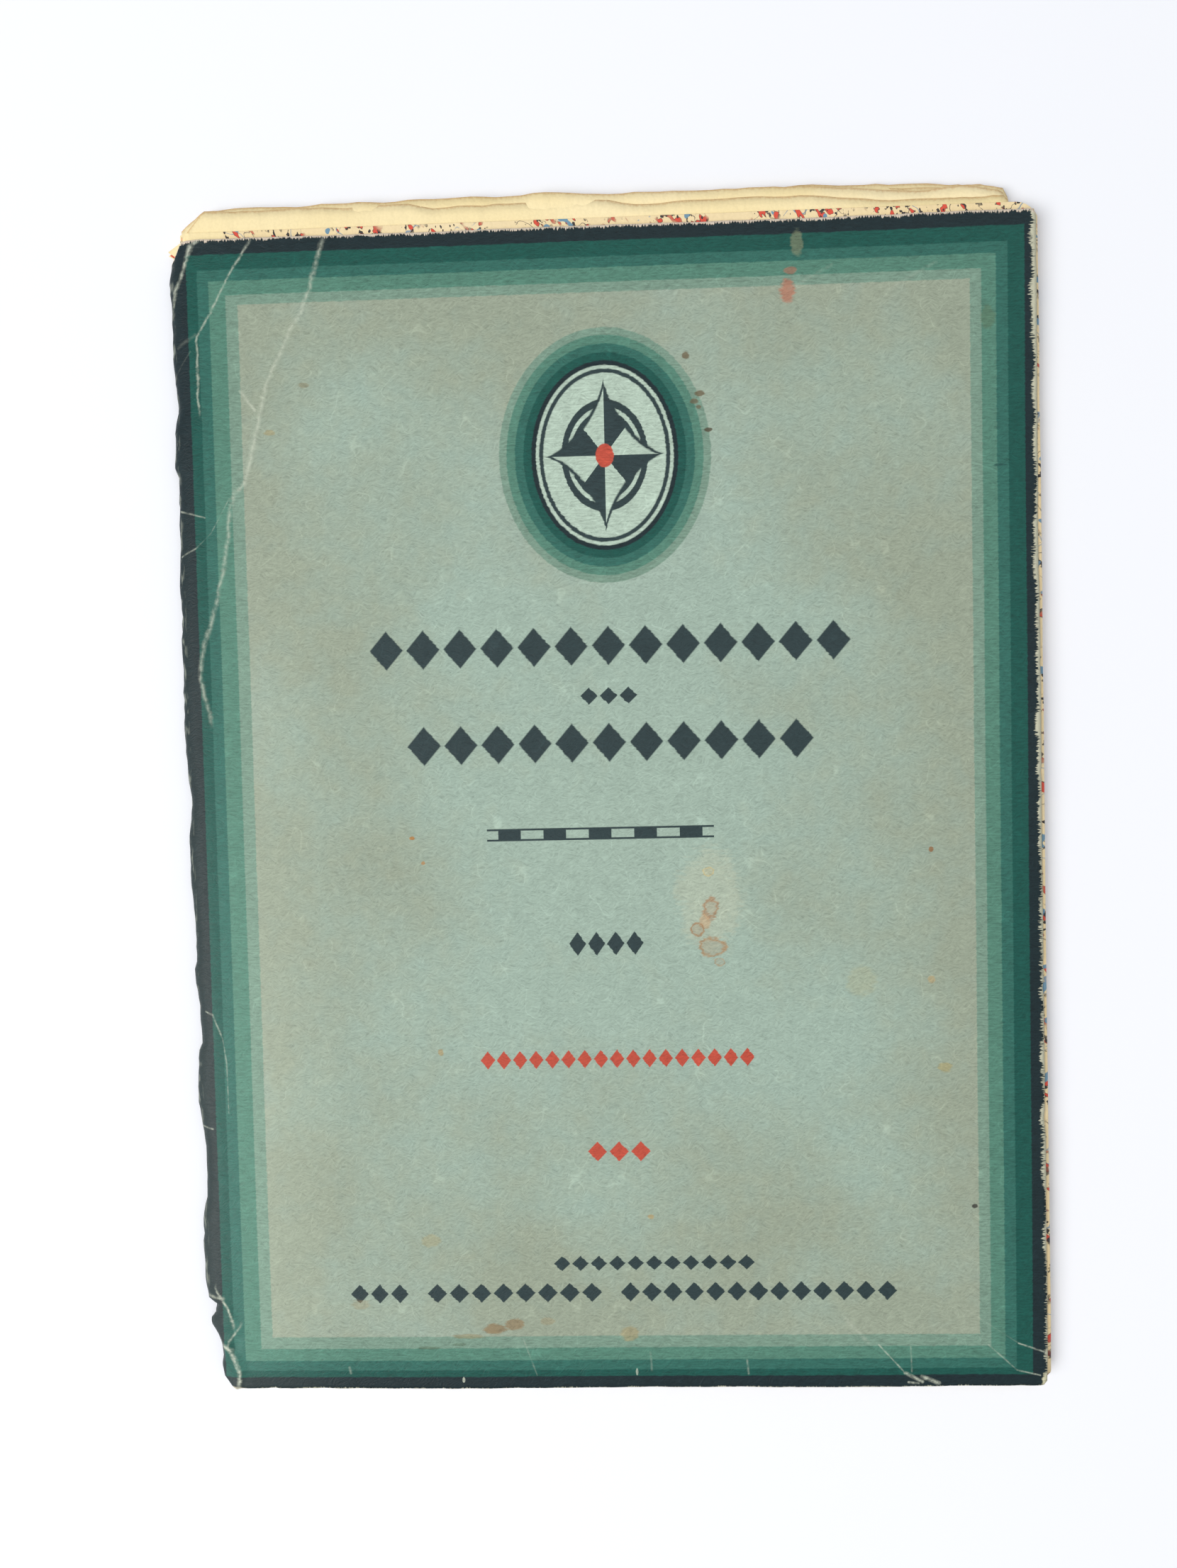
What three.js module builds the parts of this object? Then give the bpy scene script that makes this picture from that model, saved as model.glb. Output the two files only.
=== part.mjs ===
// A folded road map: one large sheet of map paper, folded to a packet of fifteen leaves, lying in a
// cover that is one sheet of card folded round a soft spine.
// Millimetres. +X runs from the spine to the fore edge, +Y to the head and +Z up. The back cover
// lies on z = 0, and the origin is under the middle of the whole.

import * as THREE from 'three';

// Cover: card folded once round the spine
const CARD = 0.26;
const COVER_HEAD = 100.1;
const COVER_FOOT = -106.85;
const COVER_FORE = 75.6;
const COVER_FORE_LEAN = 0.3; // the fore edge stands this much further out at the foot, and in at the head
const SPINE_OUT = -76.9;
const SPINE_HEIGHT = 1.7; // level of the outermost line of the spine
const FRONT_ROLL = 4.6; // how far in from the spine the front panel begins to roll
const BACK_ROLL = 2.8;
const ROLL_STEPS = 5;
const PANEL_SPINE_SIDE = -60; // a place on each level panel, towards the spine
const WEAR_REACH = -70; // the spine's wear moves nothing further in than this

// Map: paper folded in three across its height, then pleated in five across its width
const PAPER = 0.1;
const LEAF_PITCH = 0.16; // from one leaf to the next within a pleat
const PLEAT_PITCH = 0.5;
const PLEATS = 5;
const PASTE_GAP = 0.3; // between the card and the packet, above and below
const MAP_HEAD = 101.7; // the fold at the head
const MAP_FOOT = -106.2; // the fold at the foot
const MAP_FORE = 76.5; // the folds at the fore edge
const MAP_FORE_LEAN = 0.4;
const MAP_SPINE = -73.8; // the folds at the spine
const FREE_EDGE = -72.6; // the first pleat's cut edge, inside the spine
const CORNER_WEAR = 3.8; // radius that the packet's worn corners are rounded to
const CORNER_SPAN = 0.96; // share of that radius that is rounded, so that no edge stands upright
const BEND_STEPS = 4;

// Heights that follow from the stack
const COVER_TOP = 2 * CARD + 2 * PASTE_GAP + (PLEATS - 1) * PLEAT_PITCH + 2 * LEAF_PITCH + PAPER;
const LAST_PLEAT_LEVEL = CARD + PASTE_GAP + LEAF_PITCH + PAPER / 2;
const BEND_RADIUS = PLEAT_PITCH / 2;
const PACKET_HALF = LEAF_PITCH + PAPER / 2;
const LEAF_BEND = LEAF_PITCH / 2;

// Where the worn spine stands in from its outermost line: [y, how far in].
// Its foot is crushed inwards.
const SPINE_WEAR = [
  [-106.85, 4.4], [-103.4, 2.9], [-99.2, 2.6], [-94, 0.9], [-92.8, 1.8], [-86, 0.3], [-76, 0.2],
  [-66.5, 1.3], [-54, 0.1], [-36, 0.9], [-23, 0.4], [-13.5, 0.3], [1, 0.6], [14.5, 0.4], [32, 0],
  [53, 0.6], [61, 0], [71.5, 0.6], [78, 0.2], [93, 0.2], [100.1, 0.5],
];

// How far short the card stops at the spine: [x, missing length]. The head of the spine is torn
// off with the tip of the front panel's corner, and the foot is worn round.
const HEAD_LOSS = [[-76.9, 4.2], [-75.7, 3.5], [-74.3, 0]];
const FOOT_LOSS = [[-76.9, 1.2], [-74.5, 0.5], [-72.5, 0]];

// Cut edge of the top leaf of each pleat along the head, from the spine to the fore edge: [x, y].
// It is the sheet's blank margin: the corners are torn off at the pleats, and each edge wanders.
const HEAD_EDGES = [
  [[-72.6, 101.6], [-69.3, 105.4], [-33, 105.5], [-28, 104.7], [-2, 105.2], [6, 103.9], [36, 104.4],
    [52, 103], [70.5, 103.2], [72.4, 100]],
  [[-74, 101.6], [-69.5, 105.8], [-50, 106.1], [-10, 106.4], [7, 105.8], [36, 106.2], [46, 105.3],
    [70.2, 104], [72.2, 100]],
  [[-74, 101.6], [-70.5, 104.6], [-30, 105.8], [20, 106], [36, 106.85], [48, 106.6], [63, 105.8],
    [70.7, 104.8], [72, 100]],
  [[-74, 101.4], [-70, 104.8], [-20, 105.4], [40, 106.2], [69, 104.6], [72, 100]],
  [[-74, 101.4], [-69, 105], [0, 105.6], [50, 106], [72, 104.2], [75, 102]],
];

// The folds at the spine stand in at the foot, where they are crushed with it: [y, how far in]
const SPINE_CRUSH = [[-106.2, 3.1], [-99, 2.4], [-90, 0.7], [95, 0.1], [101.7, -0.9]];

// A scrap of the second pleat's fold pokes out past the torn spine, just below the head:
// [y, how far out]
const SCRAP = [[96.4, 0], [97.4, 2.6], [99.2, 2.9], [100.4, 0]];
const SCRAP_PLEAT = 2;

// Heights at which a leaf is measured between its two ends
const LEAF_LEVELS = [-99, -90, ...SCRAP.map(([y]) => y)];
const LEVEL_CLEARANCE = 0.4; // a level is moved down to stay this much below the next

const cardMaterial = new THREE.MeshStandardMaterial({ color: 0x5f8a7a, roughness: 0.75, metalness: 0 });
const paperMaterial = new THREE.MeshStandardMaterial({ color: 0xf0dda9, roughness: 0.85, metalness: 0 });

// Straight-line reading of a list of [position, value] points, held level past its ends.
function readOff(points, position) {
  if (position <= points[0][0]) return points[0][1];
  for (let k = 1; k < points.length; k += 1) {
    const [end, endValue] = points[k];
    if (position <= end) {
      const [start, startValue] = points[k - 1];
      return THREE.MathUtils.mapLinear(position, start, end, startValue, endValue);
    }
  }
  return points[points.length - 1][1];
}

// A closed sheet from a grid of places, each with a point on the sheet's outer side and one on its
// inner side. The outer side is the one that (next column) x (next row) points out of.
function closedSheet(columns) {
  const rowCount = columns[0].length;
  const positions = [];
  columns.flat().forEach(({ outer, inner }) => positions.push(...outer, ...inner));
  const outerAt = (column, row) => 2 * (column * rowCount + row);
  const innerAt = (column, row) => outerAt(column, row) + 1;
  const triangles = [];
  const quad = (a, b, c, d) => triangles.push(a, b, c, a, c, d);
  const lastColumn = columns.length - 1;
  const lastRow = rowCount - 1;
  for (let i = 0; i < lastColumn; i += 1) {
    for (let j = 0; j < lastRow; j += 1) {
      quad(outerAt(i, j), outerAt(i + 1, j), outerAt(i + 1, j + 1), outerAt(i, j + 1));
      quad(innerAt(i, j), innerAt(i, j + 1), innerAt(i + 1, j + 1), innerAt(i + 1, j));
    }
    quad(outerAt(i + 1, 0), outerAt(i, 0), innerAt(i, 0), innerAt(i + 1, 0));
    quad(outerAt(i, lastRow), outerAt(i + 1, lastRow), innerAt(i + 1, lastRow), innerAt(i, lastRow));
  }
  const end = lastColumn;
  for (let j = 0; j < lastRow; j += 1) {
    quad(outerAt(0, j), outerAt(0, j + 1), innerAt(0, j + 1), innerAt(0, j));
    quad(outerAt(end, j + 1), outerAt(end, j), innerAt(end, j), innerAt(end, j + 1));
  }
  const geometry = new THREE.BufferGeometry();
  geometry.setAttribute('position', new THREE.Float32BufferAttribute(positions, 3));
  geometry.setIndex(triangles);
  geometry.computeVertexNormals();
  return geometry;
}

// Section of the cover's middle surface, from the back panel's fore edge round the spine to the
// front panel's: each place has its x, its z and the way the card's outer face looks.
// The spine is a quarter of one ellipse below its outermost line and a quarter of another above.
function coverSection() {
  const frontRise = COVER_TOP - CARD / 2 - SPINE_HEIGHT;
  const backDrop = SPINE_HEIGHT - CARD / 2;
  const section = [COVER_FORE, 0, PANEL_SPINE_SIDE].map((x) => ({ x, z: CARD / 2, nx: 0, nz: -1 }));
  const quarter = (halfWidth, halfHeight, side) => {
    const places = [];
    for (let step = 0; step <= ROLL_STEPS; step += 1) {
      const turn = (step / ROLL_STEPS) * (Math.PI / 2);
      const normal = new THREE.Vector2(-Math.sin(turn) * halfHeight, side * Math.cos(turn) * halfWidth);
      normal.normalize();
      places.push({
        x: SPINE_OUT + CARD / 2 + halfWidth * (1 - Math.sin(turn)),
        z: SPINE_HEIGHT + side * halfHeight * Math.cos(turn),
        nx: normal.x,
        nz: normal.y,
      });
    }
    return places;
  };
  section.push(...quarter(BACK_ROLL - CARD / 2, backDrop, -1));
  section.push(...quarter(FRONT_ROLL - CARD / 2, frontRise, 1).reverse().slice(1));
  const top = COVER_TOP - CARD / 2;
  [PANEL_SPINE_SIDE, 0, COVER_FORE].forEach((x) => section.push({ x, z: top, nx: 0, nz: 1 }));
  return section;
}

function cover() {
  const levels = SPINE_WEAR.map(([y]) => y);
  const columns = coverSection().map((place) => {
    const head = COVER_HEAD - readOff(HEAD_LOSS, place.x);
    const foot = COVER_FOOT + readOff(FOOT_LOSS, place.x);
    const towardsSpine = (WEAR_REACH - place.x) / (WEAR_REACH - SPINE_OUT);
    const nearSpine = THREE.MathUtils.clamp(towardsSpine, 0, 1);
    const nearFore = THREE.MathUtils.clamp(place.x / COVER_FORE, 0, 1);
    return levels.map((level) => {
      const y = THREE.MathUtils.mapLinear(level, COVER_FOOT, COVER_HEAD, foot, head);
      const lean = (-COVER_FORE_LEAN * y) / COVER_HEAD;
      const x = place.x + nearSpine * readOff(SPINE_WEAR, y) + nearFore * lean;
      const half = CARD / 2;
      return {
        outer: [x + half * place.nx, y, place.z + half * place.nz],
        inner: [x - half * place.nx, y, place.z - half * place.nz],
      };
    });
  });
  return new THREE.Mesh(closedSheet(columns), cardMaterial);
}

// One line up and down the three leaves of a pleat, as places across its thickness: y, the height
// above the middle leaf, and the way the printed side's face looks (ny, nh).
// Leaf one runs up to the fold at the head, leaf two down to the fold at the foot, and leaf three
// up again to its cut edge.
function leafLine(headFold, footFold, cutEdge) {
  const line = [];
  const straight = (y, height, side) => line.push({ y, height, ny: 0, nh: side });
  const levelsBelow = (limit) => LEAF_LEVELS.map((y, k) => {
    const stepsBelow = LEAF_LEVELS.length - k;
    return Math.min(y, limit - LEVEL_CLEARANCE * stepsBelow);
  });
  const bend = (centreY, centreHeight, outward) => {
    for (let step = 0; step <= BEND_STEPS; step += 1) {
      const turn = (step / BEND_STEPS) * Math.PI;
      const ny = Math.sin(turn);
      const nh = Math.cos(turn) * outward;
      line.push({
        y: centreY + LEAF_BEND * ny * outward,
        height: centreHeight + LEAF_BEND * Math.cos(turn),
        ny,
        nh,
      });
    }
  };
  straight(footFold + PAPER, LEAF_PITCH, 1);
  levelsBelow(headFold - LEAF_BEND).forEach((y) => straight(y, LEAF_PITCH, 1));
  bend(headFold - LEAF_BEND - PAPER / 2, LEAF_BEND, 1);
  levelsBelow(headFold - LEAF_BEND).reverse().forEach((y) => straight(y, 0, -1));
  bend(footFold + LEAF_BEND + PAPER / 2, -LEAF_BEND, -1);
  levelsBelow(cutEdge).forEach((y) => straight(y, -LEAF_PITCH, 1));
  straight(cutEdge, -LEAF_PITCH, 1);
  return line;
}

// The pleated packet. Each place along the sheet's width has a point on the middle leaf's section
// and the way up from it (nx, nz); the three leaves are carried along it as leafLine has them.
function mapSheet() {
  const columns = [];
  const foreAt = (y) => MAP_FORE - (MAP_FORE_LEAN * y) / MAP_HEAD;
  const spineAt = (y, pleat) => {
    const scrap = pleat === SCRAP_PLEAT ? readOff(SCRAP, y) : 0;
    return MAP_SPINE + readOff(SPINE_CRUSH, y) - scrap;
  };
  const wornAway = (reach) => {
    const across = THREE.MathUtils.clamp(reach, 0, CORNER_WEAR * CORNER_SPAN);
    return CORNER_WEAR - Math.sqrt(CORNER_WEAR ** 2 - across ** 2);
  };
  const addColumn = (nominalX, level, nx, nz, spinePleat, cutEdge) => {
    const share = THREE.MathUtils.mapLinear(nominalX, MAP_SPINE, MAP_FORE, 0, 1);
    const headFold = MAP_HEAD - wornAway(nominalX - (MAP_FORE - CORNER_WEAR));
    const footFold = MAP_FOOT + wornAway(MAP_SPINE + CORNER_WEAR - nominalX);
    columns.push(leafLine(headFold, footFold, cutEdge).map(({ y, height, ny, nh }) => {
      const x = THREE.MathUtils.lerp(spineAt(y, spinePleat), foreAt(y), share);
      const side = (offset) => {
        const out = height + offset * nh;
        return [x + out * nx, y + offset * ny, level + out * nz];
      };
      return { outer: side(PAPER / 2), inner: side(-PAPER / 2) };
    }));
  };
  const foreTurn = MAP_FORE - PACKET_HALF - BEND_RADIUS;
  const spineTurn = MAP_SPINE + PACKET_HALF + BEND_RADIUS;
  HEAD_EDGES.forEach((edge, pleat) => {
    const level = LAST_PLEAT_LEVEL + (PLEATS - 1 - pleat) * PLEAT_PITCH;
    const outwards = pleat % 2 === 0;
    const up = outwards ? 1 : -1;
    const spinePleat = outwards ? pleat : pleat + 1;
    const inner = edge.filter(([x]) => x > spineTurn && x < foreTurn);
    const start = pleat === 0 ? FREE_EDGE : spineTurn;
    const ends = [[start, readOff(edge, start)], ...inner, [foreTurn, readOff(edge, foreTurn)]];
    const run = outwards ? ends : ends.reverse();
    run.forEach(([x, cutEdge]) => addColumn(x, level, 0, up, spinePleat, cutEdge));
    if (pleat === PLEATS - 1) return;
    const turnX = outwards ? foreTurn : spineTurn;
    const cutEdge = readOff(edge, turnX);
    for (let step = 1; step < BEND_STEPS; step += 1) {
      const turn = (step / BEND_STEPS) * Math.PI;
      const out = Math.sin(turn) * up;
      const x = turnX + BEND_RADIUS * out;
      const z = level - BEND_RADIUS + BEND_RADIUS * Math.cos(turn);
      addColumn(x, z, Math.sin(turn), Math.cos(turn) * up, spinePleat, cutEdge);
    }
  });
  return new THREE.Mesh(closedSheet(columns), paperMaterial);
}

const coverMesh = cover();
coverMesh.name = 'cover';

const mapMesh = mapSheet();
mapMesh.name = 'map_sheet';

const foldedMap = new THREE.Group();
foldedMap.add(coverMesh, mapMesh);

export default foldedMap;
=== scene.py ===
import bpy
import numpy as np
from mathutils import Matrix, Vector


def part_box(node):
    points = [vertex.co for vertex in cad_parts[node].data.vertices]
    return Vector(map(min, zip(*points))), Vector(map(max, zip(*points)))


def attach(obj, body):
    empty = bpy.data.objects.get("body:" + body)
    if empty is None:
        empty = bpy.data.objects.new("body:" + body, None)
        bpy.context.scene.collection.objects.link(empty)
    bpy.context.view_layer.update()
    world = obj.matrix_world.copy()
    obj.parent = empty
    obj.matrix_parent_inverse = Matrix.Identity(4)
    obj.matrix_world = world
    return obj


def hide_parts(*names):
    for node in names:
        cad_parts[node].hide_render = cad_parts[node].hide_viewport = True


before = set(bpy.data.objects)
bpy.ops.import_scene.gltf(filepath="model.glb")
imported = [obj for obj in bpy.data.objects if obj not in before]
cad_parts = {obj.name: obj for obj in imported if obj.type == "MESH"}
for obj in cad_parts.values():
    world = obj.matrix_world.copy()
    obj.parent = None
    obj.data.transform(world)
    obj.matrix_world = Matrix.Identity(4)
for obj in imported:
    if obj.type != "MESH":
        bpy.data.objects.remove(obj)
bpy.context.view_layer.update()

# ----------------------------------------------------------------------------------------------
# The cover: one sheet of thin card, printed in greens on its outer side and plain inside, folded
# once round a soft spine so that its two panels hold the map between them. Handling has rubbed
# its cut edges to the pale core, creased its head corner and crushed the foot of the spine.
# ----------------------------------------------------------------------------------------------
MM = 0.001  # lengths are in millimetres until a mesh is made
cover_low, cover_high = (np.array(corner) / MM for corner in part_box("cover"))
CARD = 0.26  # thickness
CARD_TOP = cover_high[2]
HEAD, FOOT = cover_high[1], cover_low[1]
SPINE = cover_low[0]
FORE_LEAN = 0.3  # the fore edge stands this much further out at the foot, and in at the head
FORE = cover_high[0] - FORE_LEAN
SPINE_HEIGHT = 1.7  # level of the outermost line of the spine
FRONT_ROLL, BACK_ROLL = 4.6, 2.8  # how far in from that line each panel turns level
PRINT_MIDDLE = -4.35  # y of the print's middle
CORNER_ROUND = 1.1  # radius that the two fore corners are worn to
QUARTER = np.pi / 2

# Worn spine: [y, how far it stands in from its outermost line]
SPINE_WEAR = np.array([
    [-106.85, 4.4], [-105, 3.2], [-103.4, 2.9], [-99.2, 2.6], [-97, 2.2], [-95.2, 0.9], [-94, 1.0],
    [-93.4, 1.8], [-91.2, 1.9], [-90.6, 0.7], [-88.4, 0.4], [-86, 0.1], [-76, 0.2], [-72, 0.9],
    [-66.5, 1.3], [-61, 0.9], [-54, 0.1], [-45, 0.4], [-43.3, 0.9], [-36, 1.0], [-30, 0.2],
    [-27.5, 0.8], [-23, 0.7], [-13.5, 0.1], [-6, 0.1], [1, 0.6], [11.6, 0.1], [30, 0], [40, 0.1],
    [53, 0.6], [58.6, 0.7], [61, 0], [67, 0.1], [71.5, 0.9], [78, 0.5], [82, 0.2], [93, 0.2],
    [96.5, 0.5], [100.1, 1.6],
])
# Card missing at the ends of the spine: [x, length lost]
HEAD_LOSS = np.array([[-76.9, 3.8], [-76.2, 2.9], [-75.5, 0.9], [-74.8, 0.1], [-73.5, 0]])
FOOT_LOSS = np.array([[-76.9, 1.2], [-74.5, 0.5], [-72.5, 0]])

# Lines along which the card has been bent, as [x, y] from end to end
HEAD_CREASE = np.array([
    [-61.2, 99.9], [-62.9, 97.1], [-65.7, 92.8], [-68.5, 88.1], [-71.3, 83.0], [-71.5, 76], [-71.5, 70],
])
LONG_CREASE = np.array([
    [-48.4, 99.5], [-50.5, 92.6], [-53.0, 86.8], [-59.1, 75.1], [-61.3, 66.3], [-63.5, 58.1],
    [-65.9, 54.9], [-68.2, 41.5], [-70.5, 33.5], [-72.3, 28], [-72.9, 23.4], [-71.1, 14.9],
])
TORN_CREASE = np.array([
    [-69.8, 100.4], [-71.9, 99.2], [-72.9, 96.4], [-74.2, 93.3], [-76.0, 88.6],
])
UPPER_FOOT_CREASE = np.array([[-74.0, -88.1], [-72.0, -92.3], [-70.9, -95.2]])
SHORT_FOOT_CREASE = np.array([[-69.7, -95.1], [-71.5, -97.5], [-72.2, -98.8]])
LOWER_FOOT_CREASE = np.array([
    [-74.0, -97.9], [-72.3, -99.2], [-71.1, -101.3], [-70.2, -103.4], [-70.6, -106.6],
])
# The creases, three to each note on the mesh: a crease's line, the height and half width of its
# ridge, and the half width and strength of the line where its print is rubbed off
CREASES = {
    "head_creases": [
        (HEAD_CREASE, 0.1, 0.8, 0.36, 0.6), (LONG_CREASE, 0.14, 0.9, 0.62, 0.5),
        (TORN_CREASE, 0.14, 0.7, 0.5, 0.75)],
    "foot_creases": [
        (UPPER_FOOT_CREASE, 0.16, 0.8, 0.4, 0.95), (SHORT_FOOT_CREASE, 0.16, 0.8, 0.36, 0.85),
        (LOWER_FOOT_CREASE, 0.16, 0.8, 0.6, 1.0)],
}


def spaced(start, *stretches):
    """Places from start onwards. Each stretch gives its end and how many equal steps lead there."""
    places = [[start]]
    for end, steps in stretches:
        places.append(np.linspace(start, end, steps + 1)[1:])
        start = end
    return np.concatenate(places)


def ramp(at, start, end):
    """0 up to the start, 1 from the end on, and a straight rise between them."""
    return np.clip((at - start) / (end - start), 0, 1)


def joined(parts):
    """Stretches of a line put end to end. Each holds the same quantities, as arrays or as single
    values, and each quantity comes out as one row."""
    return np.concatenate([np.stack(np.broadcast_arrays(*part)) for part in parts], axis=1)


def rounded_corner(past, radius, whole):
    """How far a rounded corner falls back at a distance past its start: radius less the root of
    (radius squared - past squared). It stops at a share (whole) of the radius, before it is steep."""
    past = np.clip(past, 0, radius * whole)
    return radius - np.sqrt(radius ** 2 - past ** 2)


def spine_section():
    """The card's middle line from the back panel's fore edge round the spine to the front panel's.
    The panels are level. The spine is two quarters of ellipses, x = outermost + reach (1 - sin t)
    and z = spine height -+ rise cos t, a low one below its outermost line and a tall one above.
    Gives x and z, the outward normal's nx and nz, the x that each place would have if its panel
    were flat (arc), and the panel that it belongs to (side -1 back, +1 front)."""
    half = CARD / 2
    back_in, front_in = BACK_ROLL - half, FRONT_ROLL - half
    back_drop, front_rise = SPINE_HEIGHT - half, CARD_TOP - half - SPINE_HEIGHT
    back = np.linspace(FORE, SPINE + BACK_ROLL, 54)
    front = spaced(SPINE + FRONT_ROLL, (-48, 31), (62, 65), (FORE, 23))
    t_back, t_front = np.linspace(0, QUARTER, 10)[1:], np.linspace(QUARTER, 0, 16)[:-1]

    def quarter(t, reach, rise, side):
        x = SPINE + half + reach * (1 - np.sin(t))
        z = SPINE_HEIGHT + side * rise * np.cos(t)
        normal = np.stack([-np.sin(t) * rise, side * np.cos(t) * reach])
        normal /= np.linalg.norm(normal, axis=0)
        return x, z, normal[0], normal[1]

    x, z, nx, nz = joined([
        (back, half, 0, -1), quarter(t_back, back_in, back_drop, -1),
        quarter(t_front, front_in, front_rise, 1), (front, CARD_TOP - half, 0, 1),
    ])
    side = np.repeat([-1.0, 1.0], [back.size + t_back.size, t_front.size + front.size])
    way = np.concatenate([[0], np.cumsum(np.hypot(np.diff(x), np.diff(z)))])
    arc = np.where(side < 0, FORE - way, FORE - (way[-1] - way))
    return x, z, nx, nz, arc, side


def ragged(at, pitch, seed):
    """Straight lines between values from -1 to 1, drawn every pitch along the way."""
    knots = np.arange(-130, 130 + pitch, pitch)
    return np.interp(at, knots, np.random.default_rng(seed).uniform(-1, 1, knots.size))


def nicks(at, seed):
    """Depth lost at a rubbed cut edge: a fine fringe, wider bites, and a few deep ones."""
    fringe = 0.04 * (1 + ragged(at, 1.1, seed))
    bites = 0.1 * np.clip(ragged(at, 4.1, seed + 1), 0, 1)
    deep = 0.5 * np.clip(ragged(at, 1.9, seed + 2) * ragged(at, 9.0, seed + 3) - 0.4, 0, 1)
    return fringe + bites + deep


def off_line(x, y, line):
    """Distance to a bent line: the least of the distances to its straight pieces."""
    nearest = np.full(np.shape(x), 1e3)
    for (x0, y0), (x1, y1) in zip(line[:-1], line[1:]):
        dx, dy = x1 - x0, y1 - y0
        share = np.clip(((x - x0) * dx + (y - y0) * dy) / (dx * dx + dy * dy), 0, 1)
        nearest = np.minimum(nearest, np.hypot(x - x0 - share * dx, y - y0 - share * dy))
    return nearest


def beside_line(x, y, line):
    """Signed distance across a line that always rises in y: x less the line's x at that y, times
    the cosine of the line's lean there."""
    line = line[np.argsort(line[:, 1])]
    lean = np.gradient(line[:, 0], line[:, 1])
    return (x - np.interp(y, line[:, 1], line[:, 0])) / np.hypot(1, np.interp(y, line[:, 1], lean))


def cover_surface():
    """The card's middle surface on a grid of columns (round the section) by rows (foot to head).
    Each row's y is its level, moved to the worn head and foot edges within the last 5 mm; x takes
    the fore edge's lean and nicks and the spine's wear. The front panel has a low swell, a ridge
    along each crease, a lifted rim and lumps at the foot of the spine. Gives the outer and inner
    faces' points, the place in the print, and the distances in from the fore, head and foot."""
    x, z, nx, nz, arc, side = (column[:, None] for column in spine_section())
    levels = spaced(FOOT, (-88, 33), (52, 103), (95, 49), (HEAD, 11))[None, :]
    on_back = side < 0
    rounded = rounded_corner(x - (FORE - CORNER_ROUND), CORNER_ROUND, 0.98)
    near_fold = ramp(x, -70, -74)
    head_nicks = (1 - near_fold) * np.where(on_back, nicks(x, 11), nicks(x, 31))
    foot_nicks = (1 - near_fold) * np.where(on_back, nicks(x, 51), nicks(x, 71))
    head = HEAD - np.interp(x, *HEAD_LOSS.T) - rounded - head_nicks
    foot = FOOT + np.interp(x, *FOOT_LOSS.T) + rounded + foot_nicks
    to_head, to_foot = ramp(levels, HEAD - 5, HEAD), ramp(levels, FOOT + 5, FOOT)
    y = levels + to_head * (head - HEAD) + to_foot * (foot - FOOT)

    fore = FORE - FORE_LEAN * y / HEAD - np.where(on_back, nicks(y, 91), nicks(y, 111))
    to_fore, to_spine = ramp(x, FORE - 9, FORE), ramp(x, -69.5, SPINE)
    bites = 0.14 * (1 + ragged(y, 1.1, 131)) + 0.3 * np.clip(ragged(y, 2.9, 132), 0, 1)
    worn = np.interp(y, *SPINE_WEAR.T) + bites * ramp(to_spine, 0.65, 0.9)
    shift = to_spine * worn + to_fore * (fore - FORE)
    x_worn = x + shift
    edges_in = np.stack(np.broadcast_arrays(fore - x_worn, head - y, y - foot), -1)
    edge_in = edges_in.min(-1)

    front = np.clip(side, 0, 1)
    swell = 0.1 * np.sin(y / 31 + 0.6) * np.sin(x / 27 + 0.9) + 0.05 * np.sin(y / 9.7 + x / 17)
    ridges = sum(
        rise * np.exp(-(off_line(x_worn, y, line) / half) ** 2)
        for line, rise, half, _, _ in CREASES["head_creases"] + CREASES["foot_creases"])
    lifted = 0.16 * np.exp(-np.clip(edge_in, 0, None) / 5) * (1 + np.sin(y / 13 + x / 11))
    crushed = ramp(y, -88, -98) * ramp(x, -66, -72)
    lumps = crushed * (0.14 * np.sin(0.9 * y + 0.8 * x) + 0.1 * np.sin(0.5 * y - 1.1 * x))
    z_worn = z + front * (swell * (1 - to_spine) + ridges + lifted * (1 - near_fold) + lumps)
    z_worn = z_worn + (1 - front) * 0.12 * to_spine * (1 + np.sin(y / 7))
    middle = np.stack([x_worn, y, z_worn], -1)
    normal = np.stack(np.broadcast_arrays(nx, 0 * y, nz), -1)
    place = np.stack(np.broadcast_arrays(arc + shift, y - PRINT_MIDDLE, side), -1)
    return middle + normal * CARD / 2, middle - normal * CARD / 2, place, edges_in


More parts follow.
